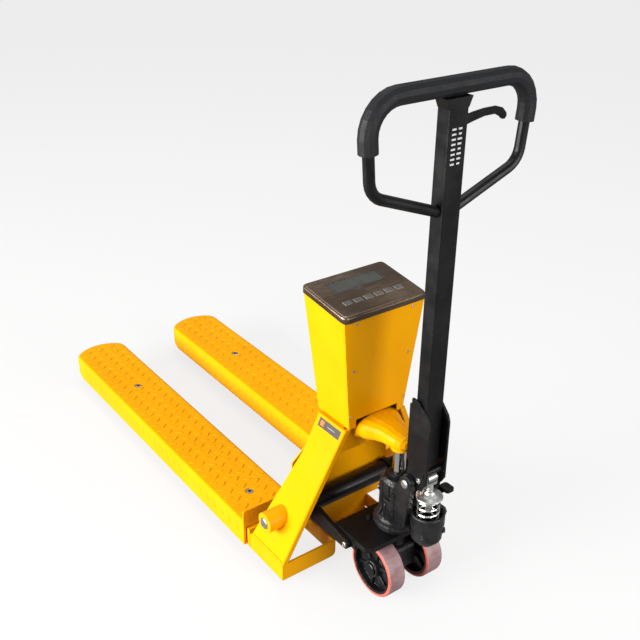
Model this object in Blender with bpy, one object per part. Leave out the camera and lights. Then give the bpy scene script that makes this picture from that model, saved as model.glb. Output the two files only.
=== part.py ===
"""A hand pallet truck with two weighing decks and an indicator head.

Units are metres. +Z is up, -X points along the forks to their tips and +X to the operator.
Lengths below are measured from the steer wheels' axle; the FRAME empty then moves the whole
truck along X, so that the origin is under the middle of the truck, on the floor.
"""
import math

import bmesh
import bpy
from mathutils import Vector

GAP = 0.0003
SIDES = (("left", -1), ("right", 1))

# Whole truck
FRAME_X = 0.672

# Decks and forks
DECK_Y = 0.195
DECK_WIDTH = 0.180
DECK_TOP = 0.112
DECK_BOTTOM = 0.035
DECK_SHEET = 0.004
DECK_BEND = 0.008
TIP_X = -1.490
TIP_RADIUS = 0.120
HEEL_X = -0.318
LIP_TOP = 0.149
LIP_THICKNESS = 0.006
BOLT_XS = (-1.140, -0.428)
FORK_WALL = 0.006
FORK_WIDTH = 0.158
FORK_BOTTOM = 0.030
FORK_TOP = 0.090
HEEL_END_X = -0.146
HEEL_TOP = 0.078
HEEL_BOTTOM = 0.026
HEEL_OUTER_Y = 0.2727
HEEL_INNER_Y = 0.0965

# Load rollers, their brackets and the push rods
ROLLER_RADIUS = 0.037
ROLLER_WIDTH = 0.063
BRACKET_X = -1.200
BRACKET_Z = 0.040
BRACKET_LENGTH = 0.150
BRACKET_CRANK = 0.032
BRACKET_CRANK_TILT = math.radians(17.5)
ROD_Z = BRACKET_Z + BRACKET_CRANK * math.cos(BRACKET_CRANK_TILT)
ROD_INNER_Y = 0.180
ROD_THICKNESS = 0.008
ROD_PIN_RADIUS = 0.004
ROD_EYE_RADIUS = 0.0066

# Rocker shaft, which turns on the pins in the side plates' bosses
SHAFT_X = -0.220
SHAFT_Z = 0.175
SHAFT_RADIUS = 0.026
SHAFT_HALF_LENGTH = 0.203
ROCKER_CRANK = 0.040
ROCKER_CRANK_TILT = math.radians(15.0)
EAR_X = -0.046
EAR_Z = 0.160
ARM_Y = 0.140
ARM_THICKNESS = 0.012
EAR_PIN_RADIUS = 0.007
EAR_SLOT_RADIUS = 0.0092
ROCKER_EYE_WALL = 0.005

# Leaning side plates and the head's cross box
PLATE_BOTTOM_Z = 0.0785
PLATE_TOP_Z = 0.4565
PLATE_BOTTOM_Y = 0.2727
PLATE_TOP_Y = 0.1010
PLATE_THICKNESS = 0.006
PLATE_FLANGE = 0.018
BOSS_RADIUS = 0.029
SHAFT_PIN_RADIUS = 0.016
CROSS_BOX_BOTTOM = 0.380
PANEL_X = -0.254
PANEL_SHEET = 0.004
PANEL_FOLD_Z = 0.300

# Pump, steering and wheels
RAM_X = -0.014
RAM_RADIUS = 0.0168
RAM_TOP = 0.4595
RAM_BOTTOM = 0.228
BASE_TOP = 0.185
BASE_BOTTOM = 0.170
PUMP_TOP = 0.340
WHEEL_RADIUS = 0.080
WHEEL_INNER_Y = 0.039
WHEEL_OUTER_Y = 0.091
RIM_RADIUS = 0.0715
AXLE_RADIUS = 0.0125

# Plunger
PLUNGER_X = 0.102
PLUNGER_ROLLER_Z = 0.400
PLUNGER_ROLLER_RADIUS = 0.0105
CAP_Z = 0.341
SPRING_SEAT = 0.225
CUP_TOP = 0.297
CUP_BORE = 0.0385
COIL_RADIUS = 0.0275
COIL_WIRE = 0.0029

PEDAL_PIVOT = (0.052, 0.318)

# Tiller
TILLER_X = 0.068
TILLER_Z = 0.383
TILLER_PIN_RADIUS = 0.008
COLUMN_X = 0.079
COLUMN_DEPTH = 0.038
COLUMN_WIDTH = 0.052
COLUMN_BOTTOM = 0.445
COLUMN_TOP = 1.322
BRACKET_PLATE_Y = 0.0275
BRACKET_PLATE_THICKNESS = 0.006
CAM_PIN_RADIUS = 0.009
HANDLE_TOP = 1.354
HANDLE_HALF_WIDTH = 0.224
HANDLE_LOW = 1.085
TUBE_RADIUS = 0.0125
GRIP_RADIUS = 0.021
GRIP_END = 1.250
LEVER_Y = 0.014
LEVER_Z = 1.277

# Indicator head
HEAD_BOTTOM = 0.457
HEAD_TILT = 0.124
HEAD_FRONT_TOP = (-0.0956, 0.7765)
HEAD_BACK_TOP_X = -0.2616
HEAD_BACK_BOTTOM_X = -0.2424
HEAD_FRONT_BOTTOM_X = -0.111
HEAD_HALF_TOP = 0.1254
HEAD_HALF_BOTTOM = 0.089
SHEET = 0.003
BEZEL_THICKNESS = 0.018
KEY_COUNT = 6
KEY_PITCH = 0.032
KEY_X = -0.143


def material(name, colour, roughness, metallic=0.0):
    """A plain Principled material."""
    made = bpy.data.materials.new(name)
    made.use_nodes = True
    shader = made.node_tree.nodes["Principled BSDF"]
    shader.inputs["Base Color"].default_value = (*colour, 1.0)
    shader.inputs["Roughness"].default_value = roughness
    shader.inputs["Metallic"].default_value = metallic
    made.diffuse_color = (*colour, 1.0)
    return made


def clear_scene():
    for item in list(bpy.data.objects):
        bpy.data.objects.remove(item, do_unlink=True)


# ---- shapes: each returns a bmesh with its faces pointing out ----

def closed(shape):
    bmesh.ops.recalc_face_normals(shape, faces=shape.faces)
    return shape


def circle(x, y, radius, count=24, start=0.0, stop=2 * math.pi):
    """Points around a circle; a part of one includes both of its ends."""
    whole = abs(stop - start - 2 * math.pi) < 1e-9
    steps = count if whole else count - 1
    return [(x + radius * math.cos(start + (stop - start) * i / steps),
             y + radius * math.sin(start + (stop - start) * i / steps)) for i in range(count)]


def on_axis(axis, along, first, second):
    """A point from its place along an axis and its two other coordinates, in X, Y, Z order."""
    if axis == "X":
        return Vector((along, first, second))
    if axis == "Y":
        return Vector((first, along, second))
    return Vector((first, second, along))


def loft(rings):
    """A solid through rings of points, with flat ends."""
    shape = bmesh.new()
    rows = [[shape.verts.new(point) for point in ring] for ring in rings]
    count = len(rows[0])
    for low, high in zip(rows, rows[1:]):
        for i in range(count):
            j = (i + 1) % count
            shape.faces.new((low[i], low[j], high[j], high[i]))
    shape.faces.new(rows[0])
    shape.faces.new(list(reversed(rows[-1])))
    return closed(shape)


def prism(axis, outline, low, high):
    """A flat outline extruded along an axis."""
    return loft([[on_axis(axis, level, *point) for point in outline] for level in (low, high)])


def box(x, y, z):
    """A block between three pairs of limits."""
    outline = [(x[0], y[0]), (x[1], y[0]), (x[1], y[1]), (x[0], y[1])]
    return prism("Z", outline, z[0], z[1])


def rod(axis, centre, radius, low, high, count=24):
    return prism(axis, circle(*centre, radius, count), low, high)


def turned(axis, centre, profile, count=24, ring=False):
    """A profile of (radius, place along the axis) turned about the axis.

    Its ends reach the axis, unless ring is set: then the profile is a loop around a bore.
    """
    shape = bmesh.new()
    rows = []
    for radius, along in profile:
        if radius == 0:
            rows.append([shape.verts.new(on_axis(axis, along, *centre))])
        else:
            rows.append([shape.verts.new(on_axis(axis, along, *point))
                         for point in circle(*centre, radius, count)])
    pairs = list(zip(rows, rows[1:]))
    if ring:
        pairs.append((rows[-1], rows[0]))
    for low, high in pairs:
        for i in range(count):
            j = (i + 1) % count
            corners = [low[i % len(low)], low[j % len(low)], high[j % len(high)], high[i % len(high)]]
            shape.faces.new(list(dict.fromkeys(corners)))
    return closed(shape)


def tube(path, radius, bore=0.0, count=16):
    """A round bar, or a pipe, along a path that stays in one plane across X."""
    shape = bmesh.new()
    normal = Vector((1, 0, 0))
    layers = []
    for size in ([radius, bore] if bore else [radius]):
        rows = []
        for i, point in enumerate(path):
            before = path[max(i - 1, 0)]
            after = path[min(i + 1, len(path) - 1)]
            along = (after - before).normalized()
            across = along.cross(normal)
            rows.append([shape.verts.new(point + size * (normal * c + across * s))
                         for c, s in circle(0, 0, 1, count)])
        layers.append(rows)
        for low, high in zip(rows, rows[1:]):
            for k in range(count):
                j = (k + 1) % count
                shape.faces.new((low[k], low[j], high[j], high[k]))
    for end in (0, -1):
        if bore:
            for k in range(count):
                j = (k + 1) % count
                shape.faces.new((layers[0][end][k], layers[0][end][j], layers[1][end][j], layers[1][end][k]))
        else:
            shape.faces.new(layers[0][end])
    return closed(shape)


def hull_of_circles(first, first_radius, second, second_radius, count=20):
    """The outline of a link: two round ends and the tangents between them."""
    away = Vector(second) - Vector(first)
    heading = math.atan2(away.y, away.x)
    spread = math.acos((first_radius - second_radius) / away.length)
    start = circle(*first, first_radius, count, heading + spread, heading + 2 * math.pi - spread)
    end = circle(*second, second_radius, count, heading - spread, heading + spread)
    return start + end


def bend(corner, before, after, radius, count=5):
    """A round corner between two straight stretches, as points in a plane."""
    corner = Vector(corner)
    inward = (Vector(before) - corner).normalized()
    outward = (Vector(after) - corner).normalized()
    half = inward.angle(outward) / 2
    centre = corner + (inward + outward).normalized() * radius / math.sin(half)
    start = corner + inward * radius / math.tan(half) - centre
    stop = corner + outward * radius / math.tan(half) - centre
    return [tuple(centre + start.slerp(stop, i / (count - 1)).normalized() * radius) for i in range(count)]


def bevel(shape, chosen, width, segments=2):
    """Round the edges for which chosen(first end, second end) is true."""
    edges = [edge for edge in shape.edges if chosen(edge.verts[0].co, edge.verts[1].co)]
    bmesh.ops.bevel(shape, geom=edges, offset=width, segments=segments, profile=0.5,
                    affect="EDGES", clamp_overlap=True)
    return closed(shape)


def both_at(index, level):
    """Chooses edges whose two ends lie at one level of X, Y or Z."""
    return lambda first, second: abs(first[index] - level) < 1e-6 and abs(second[index] - level) < 1e-6


def upright(first, second):
    return abs(first.x - second.x) < 1e-6 and abs(first.y - second.y) < 1e-6


# ---- objects ----

def to_object(name, shape):
    mesh = bpy.data.meshes.new(name)
    shape.to_mesh(mesh)
    shape.free()
    made = bpy.data.objects.new(name, mesh)
    bpy.context.scene.collection.objects.link(made)
    return made


def combine(base, other, operation):
    """Joins or cuts one bmesh with another, and returns the result."""
    target = to_object("target", base)
    tool = to_object("tool", other)
    change = target.modifiers.new("change", "BOOLEAN")
    change.operation = operation
    change.solver = "EXACT"
    change.object = tool
    bpy.context.view_layer.update()
    done = target.evaluated_get(bpy.context.evaluated_depsgraph_get())
    result = bmesh.new()
    result.from_mesh(done.to_mesh())
    done.to_mesh_clear()
    for item in (target, tool):
        mesh = item.data
        bpy.data.objects.remove(item, do_unlink=True)
        bpy.data.meshes.remove(mesh)
    bmesh.ops.remove_doubles(result, verts=result.verts, dist=1e-6)
    return result


def join(base, *others):
    for other in others:
        base = combine(base, other, "UNION")
    return base


def cut(base, *others):
    for other in others:
        base = combine(base, other, "DIFFERENCE")
    return base


def add(name, shape, finish, origin=(0, 0, 0)):
    """A named sub-part, with its own origin, hung on the truck's frame."""
    bmesh.ops.translate(shape, verts=shape.verts, vec=-Vector(origin))
    made = to_object(name, shape)
    made.data.materials.append(MATERIALS[finish])
    made.data.shade_smooth()
    made.data.set_sharp_from_angle(angle=math.radians(35))
    made.location = origin
    made.parent = FRAME
    return made


# ---- decks and forks ----

def fork_outline(centre, width, tip, heel):
    """The plan of a deck or a fork: straight sides and a broad arc for a tip."""
    half = width / 2
    reach = math.asin(half / TIP_RADIUS)
    arc = circle(tip + TIP_RADIUS, centre, TIP_RADIUS, 11, math.pi + reach, math.pi - reach)
    return [(heel, centre + half), (heel, centre - half)] + arc


def tip_chamfer(drop):
    """A wedge under a fork's tip, so that the tip rides up onto a pallet's boards."""
    slope = [(-1.412, DECK_BOTTOM - 0.001 - drop), (-1.50, 0.079 - drop),
             (-1.60, 0.079 - drop), (-1.60, -0.05), (-1.412, -0.05)]
    return prism("Y", slope, -0.3, 0.3)


def deck(side, sign):
    centre = sign * DECK_Y
    outer = prism("Z", fork_outline(centre, DECK_WIDTH, TIP_X, HEEL_X), DECK_BOTTOM, DECK_TOP)
    shoulder_x = min(vert.co.x for vert in outer.verts
                     if abs(abs(vert.co.y - centre) - DECK_WIDTH / 2) < 1e-5)
    bevel(outer, lambda a, b: upright(a, b) and abs(a.x - shoulder_x) < 1e-4, 0.016, 3)
    bevel(outer, lambda a, b: both_at(2, DECK_TOP)(a, b) and not both_at(0, HEEL_X)(a, b), DECK_BEND, 3)
    inside = fork_outline(centre, DECK_WIDTH - 2 * DECK_SHEET, TIP_X + DECK_SHEET, HEEL_X - LIP_THICKNESS)
    hollow = prism("Z", inside,
                   DECK_BOTTOM - 0.01, DECK_TOP - DECK_SHEET)
    lip = box((HEEL_X - LIP_THICKNESS, HEEL_X), (centre - DECK_WIDTH / 2, centre + DECK_WIDTH / 2),
              (DECK_BOTTOM, LIP_TOP))
    bevel(lip, lambda a, b: abs(a.z - LIP_TOP) < 1e-6 and abs(b.z - LIP_TOP) < 1e-6 and abs(a.x - b.x) > 1e-4,
          0.006, 3)
    mouth = box((HEEL_X - 0.05, HEEL_X + 0.01), (centre - 0.083, centre + 0.083), (0.0, FORK_TOP + 0.0035))
    shape = cut(join(cut(outer, hollow), lip), mouth, tip_chamfer(0.0))
    for bolt_x in BOLT_XS:
        recess = turned("Z", (bolt_x, centre), [(0, 0.10), (0.006, 0.10), (0.006, DECK_TOP - 0.0022),
                                                (0.013, DECK_TOP - 0.0022), (0.013, 0.12), (0, 0.12)], 24)
        shape = cut(shape, recess)
    add(f"deck_{side}", shape, "yellow paint")


def fork_frame(side, sign):
    centre = sign * DECK_Y
    front = prism("Z", fork_outline(centre, FORK_WIDTH, TIP_X + 0.022, HEEL_X + 0.012), FORK_BOTTOM, FORK_TOP)
    near = sorted((sign * HEEL_OUTER_Y, sign * HEEL_INNER_Y))
    heel = box((HEEL_X + 0.004, HEEL_END_X), near, (HEEL_BOTTOM, HEEL_TOP))
    inner_edge = sign * HEEL_INNER_Y
    bevel(heel, lambda a, b: both_at(2, HEEL_BOTTOM)(a, b) and both_at(1, inner_edge)(a, b), 0.014, 3)
    inside = fork_outline(centre, FORK_WIDTH - 2 * FORK_WALL, TIP_X + 0.022 + FORK_WALL, HEEL_X - 0.022)
    channel = prism("Z", inside,
                    FORK_BOTTOM - 0.05, FORK_TOP - 0.005)
    well = box((HEEL_X + 0.013, HEEL_END_X - FORK_WALL),
               sorted((sign * (HEEL_OUTER_Y - FORK_WALL), sign * (HEEL_INNER_Y + FORK_WALL))), (-0.1, 0.3))
    slot = box((HEEL_X - 0.045, HEEL_X + 0.03), sorted((sign * 0.174, sign * 0.194)), (0.050, 0.3))
    shape = cut(join(front, heel), channel, well, slot, tip_chamfer(-0.004))
    pin = rod("Y", (BRACKET_X, BRACKET_Z), 0.006, *sorted((sign * 0.118, sign * 0.272)), count=16)
    add(f"fork_frame_{side}", join(shape, pin), "yellow paint")


def load_cell(side, sign, place, bolt_x):
    centre = sign * DECK_Y
    low = FORK_TOP + GAP
    high = DECK_TOP - DECK_SHEET - GAP
    waist = 0.004
    direction = 1 if place == "tip" else -1
    points = [(-0.016, low + waist), (-0.016, high), (0.030, high),
              (0.034, high - waist), (0.114, high - waist),
              (0.114, low), (0.070, low), (0.066, low + waist)]
    outline = [(bolt_x + direction * x, z) for x, z in points]
    add(f"load_cell_{place}_{side}", prism("Y", outline, centre - 0.016, centre + 0.016), "plain steel")


def deck_bolt(side, sign, place, bolt_x):
    base = DECK_TOP - DECK_SHEET
    head = DECK_TOP - 0.0022 + GAP
    profile = [(0, base), (0.005, base), (0.005, head), (0.0100, head),
               (0.0105, head + 0.001), (0.0095, head + 0.0017),
               (0, head + 0.0017)]
    add(f"deck_bolt_{place}_{side}", turned("Z", (bolt_x, sign * DECK_Y), profile, 16), "zinc")


# ---- load rollers ----

def load_bracket(side, sign):
    pivot = (BRACKET_X, BRACKET_Z)
    axle = (BRACKET_X - math.sqrt(BRACKET_LENGTH ** 2 - (BRACKET_Z - ROLLER_RADIUS) ** 2), ROLLER_RADIUS)
    centre = sign * DECK_Y
    half = ROLLER_WIDTH / 2 + 0.0005
    shape = rod("Y", pivot, 0.012, centre - half - 0.005, centre + half + 0.005, 20)
    for direction in (-1, 1):
        levels = sorted((centre + direction * half, centre + direction * (half + 0.005)))
        shape = join(shape, prism("Y", hull_of_circles(pivot, 0.013, axle, 0.012, 10), *levels))
    shape = join(shape, rod("Y", axle, 0.006, centre - half - 0.003, centre + half + 0.003, 16))
    crank_pin = crank_pins()[0]
    plate = sorted((sign * (ROD_INNER_Y + ROD_THICKNESS + 0.001),
                    sign * (ROD_INNER_Y + ROD_THICKNESS + 0.009)))
    shape = join(shape, prism("Y", hull_of_circles(pivot, 0.0125, crank_pin, 0.007, 8), *plate))
    stub = sorted((sign * (ROD_INNER_Y - 0.001), sign * (ROD_INNER_Y + ROD_THICKNESS + 0.004)))
    shape = join(shape, rod("Y", crank_pin, ROD_PIN_RADIUS, *stub, count=12))
    shape = cut(shape, rod("Y", pivot, 0.0064, centre - 0.06, centre + 0.06, 16))
    add(f"load_bracket_{side}", shape, "black paint", (BRACKET_X, centre, BRACKET_Z))
    roller_profile = [(0.0064, -0.5), (0.0330, -0.5), (0.0370, -0.44),
                      (0.0370, 0.44), (0.0330, 0.5), (0.0064, 0.5)]
    profile = [(radius, centre + share * ROLLER_WIDTH) for radius, share in roller_profile]
    roller = turned("Y", axle, profile, 28, ring=True)
    add(f"load_roller_{side}", roller, "roller urethane", (axle[0], centre, axle[1]))


def crank_pins():
    """Where the two ends of a push rod sit with the forks down: on the bracket's crank and the rocker's."""
    tip_pin = (BRACKET_X + BRACKET_CRANK * math.sin(BRACKET_CRANK_TILT), ROD_Z)
    heel_pin = (SHAFT_X + ROCKER_CRANK * math.sin(ROCKER_CRANK_TILT),
                SHAFT_Z - ROCKER_CRANK * math.cos(ROCKER_CRANK_TILT))
    return tip_pin, heel_pin


def push_rod(side, sign):
    tip_pin, heel_pin = crank_pins()
    knee_x = -0.300
    levels = sorted((sign * ROD_INNER_Y, sign * (ROD_INNER_Y + ROD_THICKNESS)))
    bar = [(tip_pin[0], ROD_Z - 0.005), (knee_x + 0.003, ROD_Z - 0.005),
           (heel_pin[0] + 0.003, heel_pin[1] - 0.004), (heel_pin[0] - 0.003, heel_pin[1] + 0.004),
           (knee_x - 0.003, ROD_Z + 0.005), (tip_pin[0], ROD_Z + 0.005)]
    shape = prism("Y", bar, *levels)
    for pin in (tip_pin, heel_pin):
        shape = join(shape, rod("Y", pin, ROD_EYE_RADIUS + 0.0035, *levels, count=20))
    for pin in (tip_pin, heel_pin):
        shape = cut(shape, rod("Y", pin, ROD_EYE_RADIUS, levels[0] - 0.01, levels[1] + 0.01, 20))
    add(f"push_rod_{side}", shape, "black paint")


# ---- rocker ----

def torsion_tube():
    shape = rod("Y", (SHAFT_X, SHAFT_Z), SHAFT_RADIUS, -SHAFT_HALF_LENGTH, SHAFT_HALF_LENGTH, 28)
    crank_pin = crank_pins()[1]
    outline = hull_of_circles((SHAFT_X, SHAFT_Z), SHAFT_RADIUS + 0.004, crank_pin, 0.009, 12)
    for side, sign in SIDES:
        plate = sorted((sign * 0.189, sign * 0.197))
        stub = sorted((sign * 0.179, sign * 0.192))
        shape = join(shape, prism("Y", outline, *plate))
        shape = join(shape, rod("Y", crank_pin, ROD_PIN_RADIUS, *stub, count=12))
        bore = sorted((sign * 0.182, sign * 0.30))
        shape = cut(shape, rod("Y", (SHAFT_X, SHAFT_Z), SHAFT_PIN_RADIUS + 0.0005, *bore, count=24))
    add("torsion_tube", shape, "black paint", (SHAFT_X, 0, SHAFT_Z))


def rocker_arm(side, sign):
    ends = sorted((sign * (ARM_Y - ARM_THICKNESS / 2), sign * (ARM_Y + ARM_THICKNESS / 2)))
    outline = hull_of_circles((SHAFT_X, SHAFT_Z), SHAFT_RADIUS + ROCKER_EYE_WALL, (EAR_X, EAR_Z), 0.014, 16)
    shape = prism("Y", outline, *ends)
    shape = cut(shape, rod("Y", (SHAFT_X, SHAFT_Z), SHAFT_RADIUS + GAP, ends[0] - 0.01, ends[1] + 0.01))
    pin = sorted((sign * 0.1245, sign * 0.1400))
    shape = join(shape, rod("Y", (EAR_X, EAR_Z), EAR_PIN_RADIUS, *pin, count=20))
    add(f"rocker_arm_{side}", shape, "black paint", (SHAFT_X, 0, SHAFT_Z))


# ---- side plates, cross box and crosshead ----

def plate_y(z):
    """How far the side plate's outer face stands from the middle at a height."""
    share = (z - PLATE_BOTTOM_Z) / (PLATE_TOP_Z - PLATE_BOTTOM_Z)
    return PLATE_BOTTOM_Y + share * (PLATE_TOP_Y - PLATE_BOTTOM_Y)


def side_plate(side, sign):
    rings = []
    levels = ((PLATE_BOTTOM_Z, -0.297, -0.146), (0.350, -0.228, -0.122), (PLATE_TOP_Z, -0.224, -0.112))
    for z, back, front in levels:
        outer = plate_y(z)
        inner = outer - PLATE_THICKNESS
        flange = outer - PLATE_FLANGE
        section = [(back, outer), (front - 0.003, outer), (front, outer - 0.003), (front, flange),
                   (front - PLATE_THICKNESS, flange), (front - PLATE_THICKNESS, inner), (back, inner)]
        rings.append([(x, sign * y, z) for x, y in section])
    shape = loft(rings)
    boss = rod("Y", (SHAFT_X, SHAFT_Z), BOSS_RADIUS, *sorted((sign * 0.206, sign * 0.279)), count=28)
    bore = rod("Y", (SHAFT_X, SHAFT_Z), SHAFT_PIN_RADIUS + GAP, *sorted((sign * 0.19, sign * 0.30)), count=24)
    add(f"side_plate_{side}", cut(join(shape, boss), bore), "yellow paint")


def pivot_pin(side, sign):
    profile = [(0, 0.184), (SHAFT_PIN_RADIUS, 0.184),
               (SHAFT_PIN_RADIUS, 0.2815), (SHAFT_PIN_RADIUS - 0.002, 0.2835),
               (0, 0.2835)]
    turned_pin = turned("Y", (SHAFT_X, SHAFT_Z), [(radius, sign * along) for radius, along in profile], 24)
    add(f"pivot_pin_{side}", turned_pin, "zinc")


def cross_box():
    rings = []
    for z in (CROSS_BOX_BOTTOM, PLATE_TOP_Z):
        half = plate_y(z) - PLATE_THICKNESS - 0.0006
        rings.append([(-0.222, -half, z), (-0.130, -half, z), (-0.130, half, z), (-0.222, half, z)])
    shape = loft(rings)
    hollow = box((-0.216, -0.136), (-0.08, 0.08), (0.30, PLATE_TOP_Z - 0.008))
    add("cross_box", cut(shape, hollow), "yellow paint")


def cross_panel():
    """The sheet across the truck behind the rocker shaft: a foot, an upright and a sloped top."""
    low_half = HEEL_INNER_Y - 0.0005
    high_half = ROD_INNER_Y - 0.014
    fold_half = min(high_half, plate_y(PANEL_FOLD_Z) - PLATE_THICKNESS - 0.0006)
    top_half = plate_y(CROSS_BOX_BOTTOM) - PLATE_THICKNESS - 0.0006
    back = PANEL_X - PANEL_SHEET
    outline = [(-low_half, 0.028), (low_half, 0.028),
               (low_half, HEEL_TOP + 0.001), (high_half, HEEL_TOP + 0.001),
               (fold_half, PANEL_FOLD_Z), (-fold_half, PANEL_FOLD_Z), (-high_half, HEEL_TOP + 0.001),
               (-low_half, HEEL_TOP + 0.001)]
    shape = prism("X", outline, back, PANEL_X)
    top = CROSS_BOX_BOTTOM - GAP
    folded = loft([[(back, -fold_half, PANEL_FOLD_Z), (PANEL_X, -fold_half, PANEL_FOLD_Z),
                    (PANEL_X, fold_half, PANEL_FOLD_Z), (back, fold_half, PANEL_FOLD_Z)],
                   [(-0.226, -top_half, top), (-0.222, -top_half, top),
                    (-0.222, top_half, top), (-0.226, top_half, top)]])
    foot = box((PANEL_X - 0.001, -0.200), (-low_half, low_half), (0.028, 0.028 + PANEL_SHEET))
    add("cross_panel", join(shape, folded, foot), "yellow paint")


def crosshead_ring(x, half, low, high, count=20):
    """A rounded cross-section of the crosshead, flatter than an ellipse."""
    middle = (low + high) / 2
    depth = (high - low) / 2
    ring = []
    for c, s in circle(0, 0, 1, count):
        share = (abs(c) ** 2.6 + abs(s) ** 2.6) ** (-1 / 2.6)
        ring.append((x, half * c * share, middle + depth * s * share))
    return ring


def crosshead():
    """A cast arm from the cross box to a nose over the ram; it passes through the operator panel's notch."""
    sections = ((-0.1295, 0.066, 0.412, 0.4562), (-0.1132, 0.066, 0.413, 0.4562),
                (-0.1108, 0.0655, 0.414, 0.4790), (-0.096, 0.0650, 0.416, 0.4800),
                (-0.080, 0.0580, 0.420, 0.4800), (-0.062, 0.0480, 0.424, 0.4795),
                (-0.044, 0.0430, 0.428, 0.4790), (-0.020, 0.0410, 0.431, 0.4780),
                (0.002, 0.0375, 0.433, 0.4760), (0.016, 0.0300, 0.436, 0.4720),
                (0.024, 0.0190, 0.441, 0.4660), (0.027, 0.0060, 0.448, 0.4590))
    profile = [(0, 0.420), (0.0225, 0.420), (0.0245, 0.423), (0.0245, 0.446), (0, 0.446)]
    collar = turned("Z", (RAM_X, 0), profile)
    socket = rod("Z", (RAM_X, 0), RAM_RADIUS + 0.0004, 0.40, RAM_TOP + 0.001)
    add("crosshead", cut(join(loft([crosshead_ring(*section) for section in sections]), collar), socket),
        "yellow paint")


def ram():
    profile = [(0, RAM_BOTTOM), (RAM_RADIUS, RAM_BOTTOM), (RAM_RADIUS, RAM_TOP), (0, RAM_TOP)]
    add("ram", turned("Z", (RAM_X, 0), profile, 24), "chrome")


# ---- base plate, pump and steering ----

def base_plate():
    """The plate over the wheels; its two ears have slots for the rocker arms' pins."""
    outline = [(0.034, -0.116), (0.034, 0.116), (0.022, 0.1325), (-0.104, 0.1325), (-0.104, 0.085),
               (-0.104, -0.085), (-0.104, -0.1325), (0.022, -0.1325)]
    shape = prism("Z", outline, BASE_BOTTOM, BASE_TOP)
    ear_radius = EAR_SLOT_RADIUS + 0.0055
    ear = hull_of_circles((EAR_X - 0.034, EAR_Z), ear_radius + 0.0001, (EAR_X, EAR_Z), ear_radius, 10)
    for side, sign in SIDES:
        levels = sorted((sign * 0.1265, sign * 0.1325))
        web = prism("Y", [(-0.094, EAR_Z), (-0.020, 0.150), (-0.012, BASE_TOP), (-0.100, BASE_TOP)], *levels)
        shape = join(shape, web, prism("Y", ear, *levels))
    slot = hull_of_circles((EAR_X - 0.034, EAR_Z), EAR_SLOT_RADIUS + 0.0001,
                           (EAR_X, EAR_Z), EAR_SLOT_RADIUS, 10)
    shape = cut(shape, prism("Y", slot, -0.2, -0.115), prism("Y", slot, 0.115, 0.2))
    shape = cut(shape, rod("Z", (RAM_X, 0), 0.031, 0.1, 0.2))
    add("base_plate", shape, "black paint")


def thrust_ring():
    profile = [(0.0320, BASE_TOP + GAP), (0.054, BASE_TOP + GAP), (0.056, 0.188),
               (0.056, 0.1925), (0.054, 0.195),
               (0.0320, 0.195)]
    add("thrust_ring", turned("Z", (RAM_X, 0), profile, 24, ring=True), "black paint")


def lumpy_ring(radius, z, lobes):
    """A ring of the pump's body; lobes is how far its four cast ribs stand out."""
    points = []
    for i in range(24):
        angle = 2 * math.pi * i / 24
        size = radius + lobes * math.cos(4 * angle + math.pi) + lobes * 0.4 * math.cos(6 * angle + 1.0)
        points.append((RAM_X + size * math.cos(angle), size * math.sin(angle), z))
    return points


def pump_casting():
    """The cast pump: a neck between the wheels, a ribbed body, a cup and two lugs."""
    neck = turned("Z", (RAM_X, 0), [(0, 0.100), (0.028, 0.100), (0.028, 0.1953),
                                    (0.058, 0.1953), (0.061, 0.200),
                                    (0.061, 0.208), (0.052, 0.214), (0.048, 0.224), (0, 0.224)])
    levels = ((0.046, 0.216, 0.0), (0.044, 0.232, 0.0025), (0.043, 0.290, 0.0030),
              (0.045, 0.314, 0.0025), (0.044, 0.329, 0.0015), (0.036, PUMP_TOP, 0.0))
    body = loft([lumpy_ring(*level) for level in levels])
    block = box((-0.038, 0.030), (-0.034, 0.034), (0.054, 0.130))
    bevel(block, lambda a, b: abs(a.y - b.y) > 0.01, 0.010, 2)
    bridge = box((-0.010, 0.072), (-0.030, 0.030), (0.222, 0.284))
    cup = turned("Z", (PLUNGER_X, 0), [(0, 0.200), (0.022, 0.200), (0.025, 0.203),
                                       (0.025, 0.212), (0.037, 0.217),
                                       (0.040, 0.222), (0.040, 0.256), (CUP_BORE + 0.0055, 0.261),
                                       (CUP_BORE + 0.0055, CUP_TOP - 0.003), (CUP_BORE + 0.0040, CUP_TOP),
                                       (0, CUP_TOP)])
    valve = rod("Y", (0.084, 0.262), 0.019, 0.030, 0.062, 16)
    shape = join(neck, body, block, bridge, cup, valve)
    for side, sign in SIDES:
        levels = sorted((sign * 0.036, sign * 0.052))
        lug = prism("Y", hull_of_circles((0.040, 0.262), 0.034, (TILLER_X, TILLER_Z), 0.021, 14), *levels)
        web = box((-0.010, 0.050), sorted((sign * 0.020, sign * 0.052)), (0.228, 0.290))
        shape = join(shape, lug, web)
    recess = turned("Z", (PLUNGER_X, 0), [(0, SPRING_SEAT), (0.0345, SPRING_SEAT), (0.0345, 0.258),
                                          (CUP_BORE, 0.263), (CUP_BORE, 0.33), (0, 0.33)])
    bore = rod("Z", (RAM_X, 0), RAM_RADIUS + 0.0005, RAM_BOTTOM - 0.003, 0.36)
    axle_hole = rod("Y", (0, WHEEL_RADIUS), AXLE_RADIUS + GAP, -0.06, 0.06)
    tiller_hole = rod("Y", (TILLER_X, TILLER_Z), TILLER_PIN_RADIUS + GAP, -0.06, 0.06, 20)
    pedal_hole = rod("Y", PEDAL_PIVOT, 0.0063, 0.044, 0.06, 16)
    shape = cut(shape, recess, bore, axle_hole, tiller_hole, pedal_hole)
    add("pump_casting", shape, "cast black", (RAM_X, 0, 0))


def gland_ring():
    profile = [(0.0175, PUMP_TOP + GAP), (0.0265, PUMP_TOP + GAP), (0.0265, 0.350),
               (0.0245, 0.352), (0.0175, 0.352)]
    add("gland_ring", turned("Z", (RAM_X, 0), profile, 24, ring=True), "black paint")


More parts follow.
